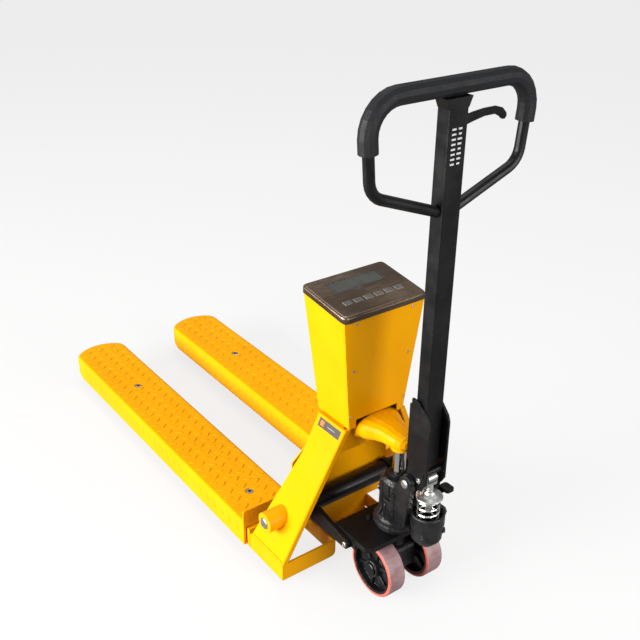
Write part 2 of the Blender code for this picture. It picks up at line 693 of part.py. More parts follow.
def axle():
    half = [(0.0180, 0.0913), (0.0180, 0.0945), (0.0150, 0.0965), (0, 0.0965)]
    profile = [(r, -y) for r, y in reversed(half)] + [(AXLE_RADIUS, -0.0913), (AXLE_RADIUS, 0.0913)] + half
    add("axle", turned("Y", (0, WHEEL_RADIUS), profile, 24), "black paint", (0, 0, WHEEL_RADIUS))


def steer_wheel(side, sign):
    centre = (0, WHEEL_RADIUS)
    origin = (0, sign * (WHEEL_INNER_Y + WHEEL_OUTER_Y) / 2, WHEEL_RADIUS)
    rim_inner = RIM_RADIUS - 0.006
    hub = [(0.0128, WHEEL_INNER_Y + 0.001), (0.024, WHEEL_INNER_Y + 0.001), (0.027, 0.058),
           (rim_inner - 0.002, 0.058),
           (rim_inner, WHEEL_INNER_Y + 0.0015), (RIM_RADIUS, WHEEL_INNER_Y + 0.0015),
           (RIM_RADIUS, WHEEL_OUTER_Y - 0.0015), (rim_inner, WHEEL_OUTER_Y - 0.0015),
           (rim_inner - 0.002, 0.072),
           (0.027, 0.072), (0.024, WHEEL_OUTER_Y - 0.001), (0.0128, WHEEL_OUTER_Y - 0.001)]
    hub_shape = turned("Y", centre, [(r, sign * y) for r, y in hub], 28, ring=True)
    add(f"wheel_hub_{side}", hub_shape, "cast black", origin)
    inner = RIM_RADIUS + GAP
    tyre = [(inner, WHEEL_INNER_Y), (0.076, WHEEL_INNER_Y), (0.0788, WHEEL_INNER_Y + 0.0012),
            (WHEEL_RADIUS, 0.043), (WHEEL_RADIUS, 0.087),
            (0.0788, WHEEL_OUTER_Y - 0.0012), (0.076, WHEEL_OUTER_Y), (inner, WHEEL_OUTER_Y)]
    tyre_shape = turned("Y", centre, [(r, sign * y) for r, y in tyre], 36, ring=True)
    add(f"wheel_tyre_{side}", tyre_shape, "urethane", origin)


# ---- plunger ----

def plunger():
    """The rod with a fork at its top, the wide roller in the fork, and the dished cap on the spring."""
    stem = turned("Z", (PLUNGER_X, 0), [(0, 0.300), (0.0075, 0.300), (0.0104, 0.303), (0.0104, 0.368),
                                        (0.0075, 0.380), (0, 0.380)], 20)
    shape = join(stem, box((PLUNGER_X - 0.006, PLUNGER_X + 0.006), (-0.0175, 0.0175), (0.3785, 0.3865)))
    for sign in (-1, 1):
        levels = sorted((sign * 0.0145, sign * 0.0175))
        cheek = hull_of_circles((PLUNGER_X, 0.384), 0.0060, (PLUNGER_X, PLUNGER_ROLLER_Z), 0.0065, 8)
        shape = join(shape, prism("Y", cheek, *levels))
    hole = rod("Y", (PLUNGER_X, PLUNGER_ROLLER_Z), 0.0038, -0.02, 0.02, 16)
    add("plunger_rod", cut(shape, hole), "zinc")
    roller = rod("Y", (PLUNGER_X, PLUNGER_ROLLER_Z), PLUNGER_ROLLER_RADIUS, -0.0140, 0.0140)
    pin = rod("Y", (PLUNGER_X, PLUNGER_ROLLER_Z), 0.0035, -0.0185, 0.0185, 16)
    add("plunger_roller", join(roller, pin), "zinc", (PLUNGER_X, 0, PLUNGER_ROLLER_Z))
    cap = [(0.0108, CAP_Z), (0.0335, CAP_Z), (0.0350, CAP_Z + 0.0030), (0.0340, CAP_Z + 0.0055),
           (0.0240, CAP_Z + 0.0100), (0.0160, CAP_Z + 0.0165),
           (0.0135, CAP_Z + 0.0215), (0.0108, CAP_Z + 0.0220)]
    add("spring_cap", turned("Z", (PLUNGER_X, 0), cap, ring=True), "zinc")


def plunger_spring():
    """A coil whose wire is six-sided; its turns follow a helix."""
    turns = 6
    steps = 12
    low = SPRING_SEAT + COIL_WIRE + 0.0006
    high = CAP_Z - COIL_WIRE - 0.0006
    shape = bmesh.new()
    rows = []
    for i in range(turns * steps + 1):
        angle = 2 * math.pi * i / steps
        level = low + (high - low) * i / (turns * steps)
        outward = Vector((math.cos(angle), math.sin(angle), 0))
        centre = Vector((PLUNGER_X, 0, level)) + COIL_RADIUS * outward
        rows.append([shape.verts.new(centre + COIL_WIRE * (c * outward + s * Vector((0, 0, 1))))
                     for c, s in circle(0, 0, 1, 6)])
    for first, second in zip(rows, rows[1:]):
        for i in range(6):
            j = (i + 1) % 6
            shape.faces.new((first[i], first[j], second[j], second[i]))
    shape.faces.new(rows[0])
    shape.faces.new(rows[-1])
    add("plunger_spring", closed(shape), "zinc")


def release_pedal():
    arm = prism("Y", hull_of_circles(PEDAL_PIVOT, 0.012, (0.090, 0.331), 0.008, 10), 0.0530, 0.0600)
    pad = box((0.078, 0.112), (0.0530, 0.0800), (0.3310, 0.3390))
    bevel(pad, upright, 0.008, 3)
    stub = rod("Y", PEDAL_PIVOT, 0.0060, 0.0450, 0.0560, 16)
    add("release_pedal", join(arm, pad, stub), "black paint", (PEDAL_PIVOT[0], 0.0565, PEDAL_PIVOT[1]))


# ---- tiller ----

def tiller_bracket():
    front = 0.119
    back = 0.053
    outline = [(back, 0.392), (0.056, 0.372), (0.082, 0.368), (0.108, 0.378), (front, 0.398), (front, 0.560),
               (0.113, 0.577), (0.075, 0.617), (back, 0.617)]
    shape = None
    for sign in (-1, 1):
        levels = sorted((sign * BRACKET_PLATE_Y, sign * (BRACKET_PLATE_Y + BRACKET_PLATE_THICKNESS)))
        plate = prism("Y", outline, *levels)
        shape = plate if shape is None else join(shape, plate)
    reach = BRACKET_PLATE_Y + BRACKET_PLATE_THICKNESS
    web = box((back - 0.006, back + 0.0005), (-reach, reach), (0.450, 0.600))
    cam_z = PLUNGER_ROLLER_Z + PLUNGER_ROLLER_RADIUS + CAM_PIN_RADIUS + GAP
    cam = rod("Y", (PLUNGER_X, cam_z), CAM_PIN_RADIUS, -reach - 0.002, reach + 0.002, 24)
    hole = rod("Y", (TILLER_X, TILLER_Z), TILLER_PIN_RADIUS + GAP, -0.05, 0.05, 20)
    add("tiller_bracket", cut(join(shape, web, cam), hole), "black paint", (TILLER_X, 0, TILLER_Z))


def tiller_pin():
    half = [(0.0115, 0.0523), (0.0115, 0.0560), (0.0090, 0.0575), (0, 0.0575)]
    shank = [(TILLER_PIN_RADIUS, -0.0523), (TILLER_PIN_RADIUS, 0.0523)]
    profile = [(r, -y) for r, y in reversed(half)] + shank + half
    add("tiller_pin", turned("Y", (TILLER_X, TILLER_Z), profile, 20), "zinc")


def tiller_column():
    half_x = COLUMN_DEPTH / 2
    half_y = COLUMN_WIDTH / 2
    shape = box((COLUMN_X - half_x, COLUMN_X + half_x), (-half_y, half_y), (COLUMN_BOTTOM, COLUMN_TOP))
    bevel(shape, upright, 0.003, 2)
    rings = []
    for half, z in ((half_y, COLUMN_TOP - 0.012), (0.036, HANDLE_TOP - GRIP_RADIUS - GAP)):
        rings.append([(COLUMN_X - half_x, -half, z), (COLUMN_X + half_x, -half, z),
                      (COLUMN_X + half_x, half, z), (COLUMN_X - half_x, half, z)])
    cap = loft(rings)
    pocket = box((COLUMN_X - 0.0065, COLUMN_X + 0.0065), (0.0, 0.05), (1.248, 1.308))
    add("tiller_column", cut(join(shape, cap), pocket), "black paint", (TILLER_X, 0, TILLER_Z))


def handle_path(half_width):
    """The loop's centre line as (y, z): out from the column, up, across the top and down again."""
    low = [(0.010, HANDLE_LOW), (half_width - 0.015, 1.160), (half_width, 1.350), (0.0, HANDLE_TOP)]
    corner_low = bend(low[1], low[0], (half_width - 0.003, 1.26), 0.050, 6)
    corner_top = bend((half_width, HANDLE_TOP), (half_width - 0.006, 1.23), (0.0, HANDLE_TOP), 0.072, 8)
    right = [low[0]] + corner_low + corner_top
    left = [(-y, z) for y, z in reversed(right)]
    return left[::-1], right


def handle_loop():
    left, right = handle_path(HANDLE_HALF_WIDTH)
    points = left + right[::-1]
    path = [Vector((COLUMN_X, y, z)) for y, z in points]
    column_space = COLUMN_WIDTH / 2 + GAP
    space = box((COLUMN_X - 0.03, COLUMN_X + 0.03), (-column_space, column_space), (1.0, 1.2))
    add("handle_loop", cut(tube(path, TUBE_RADIUS, count=12), space), "black paint", (TILLER_X, 0, TILLER_Z))


def handle_grip():
    left, right = handle_path(HANDLE_HALF_WIDTH)
    above = [point for point in left if point[1] > GRIP_END]
    low = left[len(left) - len(above) - 1]
    share = (GRIP_END - low[1]) / (above[0][1] - low[1])
    half = [(low[0] + share * (above[0][0] - low[0]), GRIP_END)] + above
    points = half + [(-y, z) for y, z in reversed(half)]
    path = [Vector((COLUMN_X, y, z)) for y, z in points]
    shape = tube(path, GRIP_RADIUS, TUBE_RADIUS + 0.0008, 12)
    add("handle_grip", shape, "grip rubber", (TILLER_X, 0, TILLER_Z))


def release_lever():
    upper = [(0.004, LEVER_Z + 0.009), (0.030, LEVER_Z + 0.010), (0.060, 1.2915),
             (0.090, 1.2945), (0.125, 1.2945),
             (0.143, 1.289), (0.155, 1.277), (0.157, 1.270)]
    lower = [(0.152, 1.264), (0.145, 1.264), (0.138, 1.270), (0.122, 1.2785), (0.090, 1.2785), (0.055, 1.272),
             (0.030, LEVER_Z - 0.011), (0.004, LEVER_Z - 0.009)]
    shape = prism("X", upper + lower, COLUMN_X - 0.005, COLUMN_X + 0.005)
    bevel(shape, lambda a, b: abs(a.x - b.x) < 1e-6, 0.002, 1)
    add("release_lever", shape, "black paint", (COLUMN_X, LEVER_Y, LEVER_Z))


# ---- indicator head ----

def head_z(x):
    """The height of the head's tilted top edge."""
    return HEAD_FRONT_TOP[1] - HEAD_TILT * (x - HEAD_FRONT_TOP[0])


def head_ring(z_bottom, inset, top_lift, front_lift):
    """Two rings, bottom and top, of the head's tapering outline."""
    front_bottom = HEAD_FRONT_BOTTOM_X - SHEET - GAP + front_lift
    front_top = HEAD_FRONT_TOP[0] - SHEET - GAP + front_lift
    back_bottom = HEAD_BACK_BOTTOM_X + inset
    back_top = HEAD_BACK_TOP_X + inset
    bottom = HEAD_HALF_BOTTOM - inset
    top = HEAD_HALF_TOP - inset
    low = [(back_bottom, -bottom, z_bottom), (front_bottom, -bottom, z_bottom),
           (front_bottom, bottom, z_bottom),
           (back_bottom, bottom, z_bottom)]
    high = [(back_top, -top, head_z(back_top) + top_lift), (front_top, -top, head_z(front_top) + top_lift),
            (front_top, top, head_z(front_top) + top_lift), (back_top, top, head_z(back_top) + top_lift)]
    return [low, high]


def indicator_housing():
    outer = loft(head_ring(HEAD_BOTTOM, 0.0, 0.0, 0.0))
    inner = loft(head_ring(HEAD_BOTTOM + SHEET, SHEET, 0.02, 0.02))
    add("indicator_housing", cut(outer, inner), "yellow paint")


def operator_panel():
    outline = [(-HEAD_HALF_BOTTOM, HEAD_BOTTOM), (-0.068, HEAD_BOTTOM), (-0.068, 0.481), (0.068, 0.481),
               (0.068, HEAD_BOTTOM), (HEAD_HALF_BOTTOM, HEAD_BOTTOM), (HEAD_HALF_TOP, HEAD_FRONT_TOP[1]),
               (-HEAD_HALF_TOP, HEAD_FRONT_TOP[1])]
    shape = prism("X", outline, -SHEET, 0.0)
    lean = (HEAD_FRONT_TOP[0] - HEAD_FRONT_BOTTOM_X) / (HEAD_FRONT_TOP[1] - HEAD_BOTTOM)
    for vert in shape.verts:
        vert.co.x += HEAD_FRONT_BOTTOM_X + lean * (vert.co.z - HEAD_BOTTOM)
    add("operator_panel", shape, "yellow paint")


def tilted_box(x, y, low, high, corner=0.0):
    """A block that lies along the head's tilted top; low and high are measured from that top."""
    shape = box(x, y, (low, high))
    if corner:
        bevel(shape, upright, corner, 3)
    for vert in shape.verts:
        vert.co.z += head_z(vert.co.x)
    return shape


def bezel():
    low = 0.0006
    high = low + BEZEL_THICKNESS
    shape = box((-0.268, -0.0905), (-0.1295, 0.1295), (low, high))
    bevel(shape, upright, 0.014, 4)
    bevel(shape, both_at(2, high), 0.0060, 3)
    for vert in shape.verts:
        vert.co.z += head_z(vert.co.x)
    shape = cut(shape, tilted_box((-0.238, -0.192), (-0.078, 0.078), high - 0.004, high + 0.01, 0.003))
    for y in key_places():
        shape = cut(shape, tilted_box((KEY_X - 0.0075, KEY_X + 0.0075), (y - 0.0110, y + 0.0110),
                                      high - 0.0035, high + 0.01))
    add("bezel", shape, "stainless")


def key_places():
    return [(i - (KEY_COUNT - 1) / 2) * KEY_PITCH for i in range(KEY_COUNT)]


def display_and_keys():
    high = 0.0006 + BEZEL_THICKNESS
    window = tilted_box((-0.2377, -0.1923), (-0.0777, 0.0777), high - 0.0037, high - 0.0012, 0.003)
    add("display", window, "display")
    for number, y in enumerate(key_places(), 1):
        shape = tilted_box((KEY_X - 0.0070, KEY_X + 0.0070), (y - 0.0105, y + 0.0105),
                           high - 0.0025, high + 0.0006)
        add(f"key_{number}", shape, "key film", (KEY_X, y, head_z(KEY_X) + high))


def head_contents():
    battery = box((-0.215, -0.145), (-0.050, 0.050), (HEAD_BOTTOM + SHEET + GAP, 0.525))
    add("battery", bevel(battery, upright, 0.004, 2), "battery case")


clear_scene()
MATERIALS = {
    "yellow paint": material("yellow paint", (0.93, 0.60, 0.02), 0.30),
    "black paint": material("black paint", (0.015, 0.015, 0.017), 0.35),
    "cast black": material("cast black", (0.02, 0.02, 0.022), 0.45),
    "plain steel": material("plain steel", (0.45, 0.45, 0.46), 0.4, 1.0),
    "zinc": material("zinc", (0.72, 0.72, 0.70), 0.25, 1.0),
    "chrome": material("chrome", (0.85, 0.85, 0.86), 0.06, 1.0),
    "stainless": material("stainless", (0.55, 0.53, 0.50), 0.3, 1.0),
    "urethane": material("urethane", (0.35, 0.16, 0.16), 0.6),
    "roller urethane": material("roller urethane", (0.45, 0.08, 0.05), 0.5),
    "grip rubber": material("grip rubber", (0.02, 0.02, 0.022), 0.75),
    "display": material("display", (0.16, 0.18, 0.15), 0.2),
    "key film": material("key film", (0.30, 0.32, 0.34), 0.4),
    "battery case": material("battery case", (0.05, 0.05, 0.055), 0.6),
}
FRAME = bpy.data.objects.new("frame", None)
FRAME.location = (FRAME_X, 0, 0)
bpy.context.scene.collection.objects.link(FRAME)

for side_name, side_sign in SIDES:
    deck(side_name, side_sign)
    fork_frame(side_name, side_sign)
    for place_name, bolt_place in zip(("tip", "heel"), BOLT_XS):
        load_cell(side_name, side_sign, place_name, bolt_place)
        deck_bolt(side_name, side_sign, place_name, bolt_place)
    load_bracket(side_name, side_sign)
    push_rod(side_name, side_sign)
    rocker_arm(side_name, side_sign)
    side_plate(side_name, side_sign)
    pivot_pin(side_name, side_sign)
    steer_wheel(side_name, side_sign)
torsion_tube()
cross_box()
cross_panel()
crosshead()
ram()
base_plate()
thrust_ring()
pump_casting()
gland_ring()
axle()
plunger()
plunger_spring()
release_pedal()
tiller_bracket()
tiller_pin()
tiller_column()
handle_loop()
handle_grip()
release_lever()
indicator_housing()
operator_panel()
bezel()
display_and_keys()
head_contents()
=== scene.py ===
"""Looks for the weighing pallet truck: materials, small fittings, floor, light and camera.

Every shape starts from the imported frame. Lengths are in metres, +Z is up, -X points along the
forks and +X towards the operator.
"""
import math

import bmesh
import bpy
from mathutils import Matrix, Vector
from mathutils.bvhtree import BVHTree


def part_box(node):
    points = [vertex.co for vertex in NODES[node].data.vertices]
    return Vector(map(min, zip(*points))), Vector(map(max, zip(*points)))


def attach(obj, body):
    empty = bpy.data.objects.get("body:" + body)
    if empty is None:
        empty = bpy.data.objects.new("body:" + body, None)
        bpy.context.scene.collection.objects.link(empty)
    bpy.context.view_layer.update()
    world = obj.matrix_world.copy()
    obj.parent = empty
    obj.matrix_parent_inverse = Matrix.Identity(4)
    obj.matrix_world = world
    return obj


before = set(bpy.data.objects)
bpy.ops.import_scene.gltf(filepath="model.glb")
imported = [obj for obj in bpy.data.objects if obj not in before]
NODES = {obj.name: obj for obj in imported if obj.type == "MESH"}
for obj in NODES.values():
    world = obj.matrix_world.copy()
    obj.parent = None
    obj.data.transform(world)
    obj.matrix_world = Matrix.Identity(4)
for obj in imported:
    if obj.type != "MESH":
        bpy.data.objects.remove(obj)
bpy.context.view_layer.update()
SIDES = (("left", -1), ("right", 1))


def middle(node):
    low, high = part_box(node)
    return (low + high) / 2


TREES = {}


def land(node, start, direction):
    """Where a ray meets a CAD node, and the way the surface faces there."""
    if node not in TREES:
        shape = bmesh.new()
        shape.from_mesh(NODES[node].data)
        TREES[node] = BVHTree.FromBMesh(shape)
        shape.free()
    place, normal, _, _ = TREES[node].ray_cast(Vector(start), Vector(direction).normalized())
    return place, normal


AXLE = middle("axle")
X0 = AXLE.x
DECK_TOP = 0.112
SINK = 0.0003


# ---- mesh code ----

def finish_mesh(name, shape, material, body, smooth=35):
    """A mesh object from a bmesh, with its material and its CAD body."""
    bmesh.ops.recalc_face_normals(shape, faces=shape.faces)
    mesh = bpy.data.meshes.new(name)
    shape.to_mesh(mesh)
    shape.free()
    mesh.materials.append(material)
    mesh.shade_smooth()
    mesh.set_sharp_from_angle(angle=math.radians(smooth))
    made = bpy.data.objects.new(name, mesh)
    bpy.context.scene.collection.objects.link(made)
    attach(made, body)
    return made


def frame_along(direction, lean=(0, 0, 1)):
    """A rotation that takes +Z to a direction."""
    z = Vector(direction).normalized()
    x = Vector(lean).cross(z)
    if x.length < 1e-4:
        x = Vector((1, 0, 0)).cross(z)
    x.normalize()
    return Matrix((x, z.cross(x), z)).transposed()


def add_rings(shape, rings):
    """Skins rings of points that all have the same count, and closes both ends."""
    rows = [[shape.verts.new(point) for point in ring] for ring in rings]
    count = len(rows[0])
    for low, high in zip(rows, rows[1:]):
        for i in range(count):
            j = (i + 1) % count
            shape.faces.new((low[i], low[j], high[j], high[i]))
    shape.faces.new(list(reversed(rows[0])))
    shape.faces.new(rows[-1])


def ring_points(centre, turn, radius, height, count, start=0.0):
    return [Vector(centre) + turn @ Vector((radius * math.cos(start + 2 * math.pi * i / count),
                                            radius * math.sin(start + 2 * math.pi * i / count),
                                            height)) for i in range(count)]


def add_turned(shape, centre, direction, profile, count=24, start=0.0):
    """A profile of (radius, height) turned about a direction from a centre."""
    turn = frame_along(direction)
    add_rings(shape, [ring_points(centre, turn, max(radius, 1e-4), height, count, start)
                      for radius, height in profile])


def add_bolt(shape, centre, direction, radius, height, washer=True, socket=False):
    """A hexagon bolt with a washer, or a round head with a hexagon socket."""
    turn = frame_along(direction)
    base = 0.0
    if washer:
        base = height * 0.25
        add_turned(shape, centre, direction, [(radius * 1.35, 0), (radius * 1.38, base * 0.5),
                                              (radius * 1.3, base)], 20)
    if socket:
        rings = [ring_points(centre, turn, radius * 0.94, base, 24),
                 ring_points(centre, turn, radius, base + height * 0.12, 24),
                 ring_points(centre, turn, radius, base + height * 0.80, 24),
                 ring_points(centre, turn, radius * 0.90, base + height, 24),
                 ring_points(centre, turn, radius * 0.52, base + height, 24)]
        rings.append(ring_points(centre, turn, radius * 0.50, base + height * 0.35, 24))
        add_rings(shape, rings)
    else:
        add_rings(shape, [ring_points(centre, turn, radius * 1.08, base, 6),
                          ring_points(centre, turn, radius * 1.08, base + height * 0.82, 6),
                          ring_points(centre, turn, radius * 0.90, base + height, 6)])


def add_tube(shape, points, radius, count=10, waves=None):
    """A round bead along points; waves is a function of the step that scales its radius."""
    rows = []
    for i, point in enumerate(points):
        before = points[max(i - 1, 0)]
        after = points[min(i + 1, len(points) - 1)]
        turn = frame_along(Vector(after) - Vector(before), (0.31, 0.17, 0.93))
        size = radius * (waves(i) if waves else 1.0)
        rows.append(ring_points(point, turn, size, 0, count))
    add_rings(shape, rows)


def add_box(shape, centre, half, turn=None, bevel=0.0):
    """A block, with its edges bevelled once."""
    turn = turn or Matrix.Identity(3)
    part = bmesh.new()
    bmesh.ops.create_cube(part, size=2.0)
    for vert in part.verts:
        vert.co = Vector((vert.co.x * half[0], vert.co.y * half[1], vert.co.z * half[2]))
    if bevel:
        bmesh.ops.bevel(part, geom=part.edges[:], offset=bevel, segments=2, profile=0.6,
                        affect="EDGES", clamp_overlap=True)
    merge(shape, part, Matrix.Translation(centre) @ turn.to_4x4())


def merge(shape, part, matrix=None):
    """Adds one bmesh to another and frees it."""
    if matrix is not None:
        bmesh.ops.transform(part, matrix=matrix, verts=part.verts)
    mesh = bpy.data.meshes.new("part")
    part.to_mesh(mesh)
    part.free()
    shape.from_mesh(mesh)
    bpy.data.meshes.remove(mesh)


def weld_waves(i):
    return 0.85 + 0.22 * math.sin(i * 1.9) + 0.08 * math.sin(i * 0.7 + 1.0)


# ---- materials ----

def new_material(name, colour, roughness, metallic=0.0, specular=0.5):
    made = bpy.data.materials.new(name)
    made.use_nodes = True
    shader = made.node_tree.nodes["Principled BSDF"]
    shader.inputs["Base Color"].default_value = (*colour, 1.0)
    shader.inputs["Roughness"].default_value = roughness
    shader.inputs["Metallic"].default_value = metallic
    shader.inputs["Specular IOR Level"].default_value = specular
    made.diffuse_color = (*colour, 1.0)
    return made, made.node_tree, shader


def object_coordinates(tree, stretch=(1, 1, 1)):
    source = tree.nodes.new("ShaderNodeTexCoord")
    mapping = tree.nodes.new("ShaderNodeMapping")
    mapping.inputs["Scale"].default_value = stretch
    tree.links.new(source.outputs["Object"], mapping.inputs["Vector"])
    return mapping.outputs["Vector"]


def noise(tree, vector, scale, detail=3.0, roughness=0.5):
    made = tree.nodes.new("ShaderNodeTexNoise")
    made.inputs["Scale"].default_value = scale
    made.inputs["Detail"].default_value = detail
    made.inputs["Roughness"].default_value = roughness
    tree.links.new(vector, made.inputs["Vector"])
    return made.outputs["Fac"]


def spread(tree, value, low, high, from_low=0.3, from_high=0.7):
    """A value moved to another range, and kept inside it."""
    made = tree.nodes.new("ShaderNodeMapRange")
    made.inputs["From Min"].default_value = from_low
    made.inputs["From Max"].default_value = from_high
    made.inputs["To Min"].default_value = low
    made.inputs["To Max"].default_value = high
    tree.links.new(value, made.inputs["Value"])
    return made.outputs["Result"]


def ramp(tree, value, stops):
    made = tree.nodes.new("ShaderNodeValToRGB")
    elements = made.color_ramp.elements
    while len(elements) < len(stops):
        elements.new(0.5)
    for element, (place, colour) in zip(elements, stops):
        element.position = place
        element.color = (*colour, 1.0)
    tree.links.new(value, made.inputs["Fac"])
    return made.outputs["Color"]


def bump(tree, shader, height, distance, strength=1.0, edge=0.0):
    """Relief from a height, over edges that look rounded by the given radius."""
    made = tree.nodes.new("ShaderNodeBump")
    made.inputs["Strength"].default_value = strength
    made.inputs["Distance"].default_value = distance
    tree.links.new(height, made.inputs["Height"])
    if edge:
        soft = tree.nodes.new("ShaderNodeBevel")
        soft.samples = 4
        soft.inputs["Radius"].default_value = edge
        tree.links.new(soft.outputs["Normal"], made.inputs["Normal"])
    tree.links.new(made.outputs["Normal"], shader.inputs["Normal"])


def yellow_paint():
    made, tree, shader = new_material("yellow_paint", (0.78, 0.335, 0.001), 0.3, specular=0.06)
    where = object_coordinates(tree)
    tone = noise(tree, where, 5.0, 2.0)
    colour = ramp(tree, tone, [(0.30, (0.74, 0.310, 0.0005)), (0.55, (0.78, 0.335, 0.001)),
                               (0.75, (0.80, 0.355, 0.0015))])
    tree.links.new(colour, shader.inputs["Base Color"])
    tree.links.new(spread(tree, noise(tree, where, 22.0, 4.0), 0.22, 0.36), shader.inputs["Roughness"])
    bump(tree, shader, noise(tree, where, 260.0, 2.0), 0.0006, 0.25, 0.0016)
    return made


def black_paint():
    made, tree, shader = new_material("black_paint", (0.006, 0.006, 0.0065), 0.34, specular=0.22)
    where = object_coordinates(tree)
    dust = noise(tree, where, 9.0, 5.0, 0.65)
    colour = ramp(tree, dust, [(0.45, (0.0045, 0.0045, 0.0050)), (0.75, (0.013, 0.0125, 0.0125))])
    tree.links.new(colour, shader.inputs["Base Color"])
    tree.links.new(spread(tree, noise(tree, where, 30.0, 4.0), 0.24, 0.42), shader.inputs["Roughness"])
    bump(tree, shader, noise(tree, where, 320.0, 3.0), 0.0006, 0.3, 0.0014)
    return made


def cast_black():
    made, tree, shader = new_material("cast_black", (0.006, 0.006, 0.007), 0.3, specular=0.4)
    where = object_coordinates(tree)
    tone = noise(tree, where, 14.0, 4.0, 0.6)
    colour = ramp(tree, tone, [(0.40, (0.004, 0.004, 0.005)), (0.78, (0.020, 0.019, 0.019))])
    tree.links.new(colour, shader.inputs["Base Color"])
    tree.links.new(spread(tree, noise(tree, where, 60.0, 3.0), 0.18, 0.46), shader.inputs["Roughness"])
    bump(tree, shader, noise(tree, where, 95.0, 5.0, 0.6), 0.0035, 0.65, 0.003)
    return made


def plated(name, colour, low, high, edge=0.0008):
    """Bright plating with faint cloudy stains."""
    made, tree, shader = new_material(name, colour, (low + high) / 2, 1.0)
    where = object_coordinates(tree)
    tone = noise(tree, where, 45.0, 4.0, 0.6)
    dull = tuple(c * 0.72 for c in colour)
    tree.links.new(ramp(tree, tone, [(0.35, dull), (0.62, colour)]), shader.inputs["Base Color"])
    tree.links.new(spread(tree, noise(tree, where, 120.0, 3.0), low, high), shader.inputs["Roughness"])
    bump(tree, shader, noise(tree, where, 500.0, 2.0), 0.0003, 0.2, edge)
    return made


def chrome():
    made, tree, shader = new_material("chrome", (0.82, 0.83, 0.85), 0.06, 1.0)
    where = object_coordinates(tree, (1, 1, 0.02))
    streak = noise(tree, where, 220.0, 2.0)
    tree.links.new(spread(tree, streak, 0.03, 0.14), shader.inputs["Roughness"])
    bump(tree, shader, streak, 0.0002, 0.15)
    return made


def stainless():
    """Brushed sheet, with its grain along Y."""
    made, tree, shader = new_material("stainless", (0.22, 0.18, 0.14), 0.3, 1.0)
    grain = noise(tree, object_coordinates(tree, (1, 0.02, 1)), 900.0, 3.0)
    cloud = noise(tree, object_coordinates(tree), 9.0, 2.0)
    tone = tree.nodes.new("ShaderNodeMath")
    tone.operation = "ADD"
    tree.links.new(spread(tree, grain, 0.0, 0.5, 0.25, 0.75), tone.inputs[0])
    tree.links.new(spread(tree, cloud, 0.0, 0.5), tone.inputs[1])
    colour = ramp(tree, tone.outputs["Value"], [(0.15, (0.150, 0.103, 0.070)),
                                                (0.55, (0.200, 0.142, 0.100)),
                                                (0.95, (0.270, 0.205, 0.155))])
    tree.links.new(colour, shader.inputs["Base Color"])
    tree.links.new(spread(tree, grain, 0.20, 0.42), shader.inputs["Roughness"])
    shader.inputs["Anisotropic"].default_value = 0.5
    bump(tree, shader, grain, 0.0003, 0.25, 0.0012)
    return made


def tyre():
    """Dusty tread, with a bright ring on both edges. The rings are told apart by the way they face."""
    made, tree, shader = new_material("tyre", (0.33, 0.19, 0.20), 0.55)
    where = object_coordinates(tree)
    geometry = tree.nodes.new("ShaderNodeNewGeometry")
    turned = tree.nodes.new("ShaderNodeVectorTransform")
    turned.vector_type = "NORMAL"
    turned.convert_from = "WORLD"
    turned.convert_to = "OBJECT"
    tree.links.new(geometry.outputs["Normal"], turned.inputs["Vector"])
    split = tree.nodes.new("ShaderNodeSeparateXYZ")
    tree.links.new(turned.outputs["Vector"], split.inputs["Vector"])
    size = tree.nodes.new("ShaderNodeMath")
    size.operation = "ABSOLUTE"
    tree.links.new(split.outputs["Y"], size.inputs[0])
    dust = noise(tree, where, 38.0, 5.0, 0.65)
    tread = ramp(tree, dust, [(0.30, (0.235, 0.125, 0.130)), (0.52, (0.315, 0.188, 0.196)),
                              (0.75, (0.42, 0.29, 0.29))])
    edge = ramp(tree, noise(tree, where, 60.0, 3.0), [(0.3, (0.50, 0.075, 0.045)),
                                                      (0.7, (0.68, 0.125, 0.075))])
    mix = tree.nodes.new("ShaderNodeMix")
    mix.data_type = "RGBA"
    tree.links.new(spread(tree, size.outputs["Value"], 0.0, 1.0, 0.35, 0.6), mix.inputs["Factor"])
    tree.links.new(tread, mix.inputs["A"])
    tree.links.new(edge, mix.inputs["B"])
    tree.links.new(mix.outputs["Result"], shader.inputs["Base Color"])
    tree.links.new(spread(tree, dust, 0.42, 0.68), shader.inputs["Roughness"])
    bump(tree, shader, noise(tree, where, 300.0, 4.0), 0.0006, 0.3, 0.001)
    return made


def moulded(name, dark, light, roughness, grain, depth, edge=0.001, specular=0.5):
    """Moulded rubber or plastic with a fine grain."""
    made, tree, shader = new_material(name, dark, roughness, specular=specular)
    where = object_coordinates(tree)
    tree.links.new(ramp(tree, noise(tree, where, 25.0, 4.0, 0.6), [(0.35, dark), (0.75, light)]),
                   shader.inputs["Base Color"])
    tree.links.new(spread(tree, noise(tree, where, 50.0, 3.0), roughness - 0.08, roughness + 0.08),
                   shader.inputs["Roughness"])
    bump(tree, shader, noise(tree, where, grain, 3.0), depth, 0.5, edge)
    return made


def grip_rubber():
    made = moulded("grip_rubber", (0.0035, 0.0038, 0.0048), (0.007, 0.0075, 0.0095), 0.62, 700.0, 0.0008,
                   specular=0.3)
    shader = made.node_tree.nodes["Principled BSDF"]
    shader.inputs["Sheen Weight"].default_value = 0.02
    shader.inputs["Sheen Roughness"].default_value = 0.4
    shader.inputs["Sheen Tint"].default_value = (0.75, 0.85, 1.0, 1.0)
    return made


def display_glass():
    """A blank grey-green window with a lighter, blotchy band."""
    made, tree, shader = new_material("display_glass", (0.045, 0.046, 0.038), 0.18)
    tone = noise(tree, object_coordinates(tree), 14.0, 2.0)
    tree.links.new(ramp(tree, tone, [(0.3, (0.032, 0.031, 0.026)), (0.7, (0.070, 0.070, 0.060))]),
                   shader.inputs["Base Color"])
    tree.links.new(spread(tree, tone, 0.12, 0.26), shader.inputs["Roughness"])
    shader.inputs["Coat Weight"].default_value = 0.3
    return made


